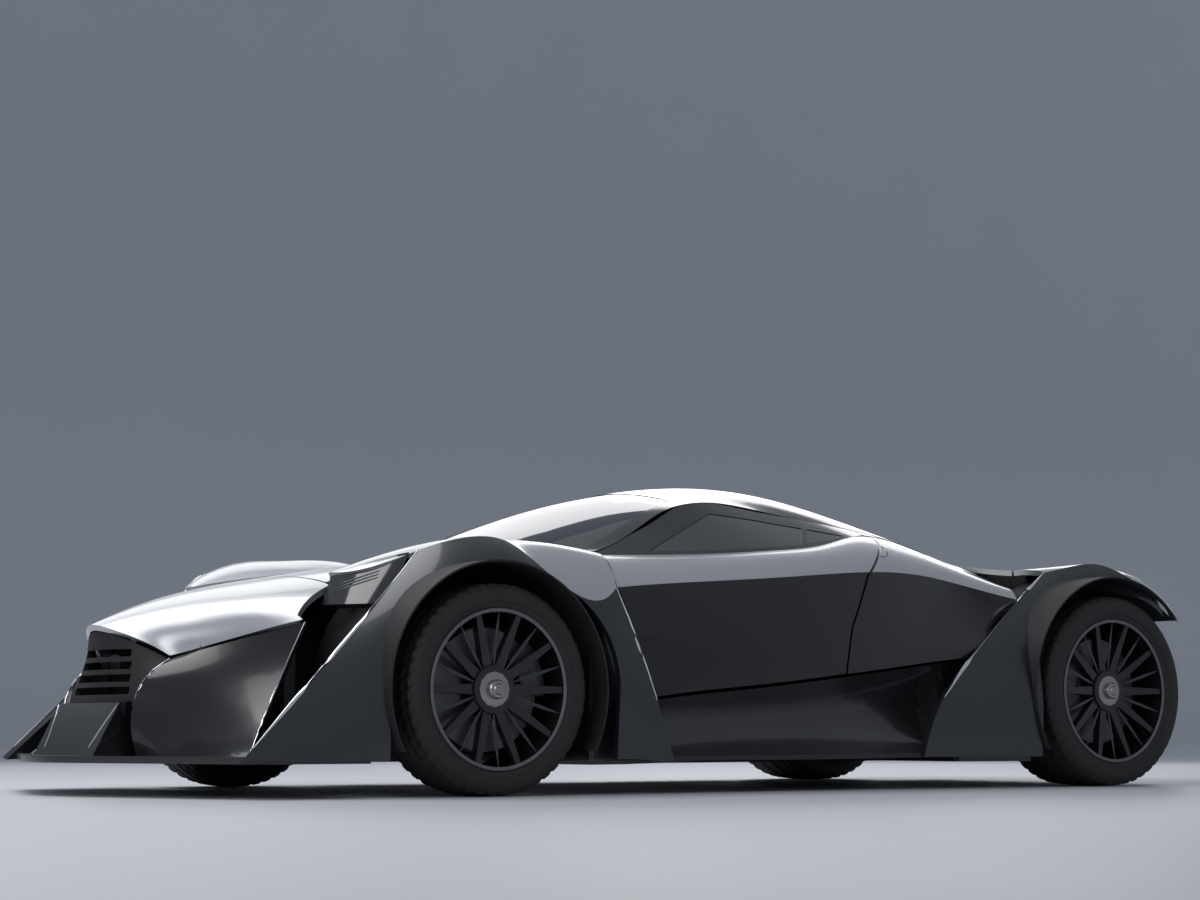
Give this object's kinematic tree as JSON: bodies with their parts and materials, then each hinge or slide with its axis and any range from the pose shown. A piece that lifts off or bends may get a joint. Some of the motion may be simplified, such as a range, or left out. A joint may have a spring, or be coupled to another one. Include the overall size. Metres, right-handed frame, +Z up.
{
  "type": "mid-engined hypercar",
  "caption": "Low two-seat mid-engined hypercar with a pointed silver nose, free-standing dark fender blades, a black teardrop cabin and upward-opening doors.",
  "frame": {"origin": "ground level under the centre of the car's overall box", "axes": "+X towards the tail, +Y towards the car's right side, +Z up"},
  "size_m": [4.62, 1.9788, 1.1072],
  "materials": {
    "silver": "pearl silver gloss",
    "graphite": "dark satin graphite",
    "gloss_black": "gloss black",
    "inner_black": "matte black",
    "screen_glass": "dark tinted",
    "side_glass": "dark tinted",
    "cast": "cast",
    "tyre": "rubber",
    "rim": "dark satin",
    "carbon": "carbon weave",
    "lamp": "dark lens",
    "red_lamp": "red lens",
    "steel": "heat tinted",
    "frame_metal": "anodised",
    "seat": "black hide"
  },
  "bodies": {
    "body": {"cheeks": "gloss_black", "chin": "gloss_black", "cowl": "silver", "dashboard": "seat", "front_blades": "graphite", "front_fender_tops": "silver", "front_frame": "frame_metal", "grille": "inner_black", "headlamps": "lamp", "liners": "inner_black", "power_unit": "cast", "quarter_panels": "silver", "rear_blades": "graphite", "rear_fender_tops": "silver", "rear_flanks": "gloss_black", "rear_frame": "frame_metal", "roof": "gloss_black", "seats": "seat", "side_skirts": "carbon", "splitter": "carbon", "steering_wheel": "seat", "tail_lamp": "red_lamp", "tail_panel": "gloss_black", "tailpipes": "steel", "tub": "carbon", "underbody": "carbon", "windscreen": "screen_glass"},
    "door_left": {"door_left": "gloss_black", "door_left_waist": "silver", "door_left_glass": "side_glass"},
    "door_right": {"door_right": "gloss_black", "door_right_waist": "silver", "door_right_glass": "side_glass"},
    "bonnet": {"bonnet": "silver"},
    "deck_lid": {"deck_lid": "silver"},
    "knuckle_left": {"knuckle_left": "cast"},
    "knuckle_right": {"knuckle_right": "cast"},
    "wheel_front_left": {"tyre_front_left": "tyre", "rim_front_left": "rim"},
    "wheel_front_right": {"tyre_front_right": "tyre", "rim_front_right": "rim"},
    "wheel_rear_left": {"tyre_rear_left": "tyre", "rim_rear_left": "rim"},
    "wheel_rear_right": {"tyre_rear_right": "tyre", "rim_rear_right": "rim"}
  },
  "joints": [
    {"name": "steer_left", "type": "hinge", "parent": "body", "child": "knuckle_left", "pos_m": [-1.203, -0.82, 0.332], "axis": [0, 0, 1], "range_deg": [-28, 28]},
    {"name": "steer_right", "type": "hinge", "parent": "body", "child": "knuckle_right", "pos_m": [-1.203, 0.82, 0.332], "axis": [0, 0, 1], "range_deg": [-28, 28]},
    {"name": "spin_front_left", "type": "hinge", "parent": "knuckle_left", "child": "wheel_front_left", "pos_m": [-1.203, -0.8585, 0.332], "axis": [0, 1, 0], "continuous": true},
    {"name": "spin_front_right", "type": "hinge", "parent": "knuckle_right", "child": "wheel_front_right", "pos_m": [-1.203, 0.8585, 0.332], "axis": [0, 1, 0], "continuous": true},
    {"name": "spin_rear_left", "type": "hinge", "parent": "body", "child": "wheel_rear_left", "pos_m": [1.523, -0.8235, 0.352], "axis": [0, 1, 0], "continuous": true},
    {"name": "spin_rear_right", "type": "hinge", "parent": "body", "child": "wheel_rear_right", "pos_m": [1.523, 0.8235, 0.352], "axis": [0, 1, 0], "continuous": true},
    {"name": "door_left_hinge", "type": "hinge", "parent": "body", "child": "door_left", "pos_m": [-0.722, -0.925, 0.672], "axis": [0.2, -0.35, -0.9151], "range_deg": [0, 65]},
    {"name": "door_right_hinge", "type": "hinge", "parent": "body", "child": "door_right", "pos_m": [-0.722, 0.925, 0.672], "axis": [-0.2, -0.35, 0.9151], "range_deg": [0, 65]},
    {"name": "bonnet_hinge", "type": "hinge", "parent": "body", "child": "bonnet", "pos_m": [-1.553, 0, 0.712], "axis": [0, 1, 0], "range_deg": [0, 50]},
    {"name": "deck_lid_hinge", "type": "hinge", "parent": "body", "child": "deck_lid", "pos_m": [1.373, 0, 0.872], "axis": [0, -1, 0], "range_deg": [0, 45]}
  ],
  "couplings": [
    {"joint": "steer_right", "follows": "steer_left", "ratio": 1}
  ]
}
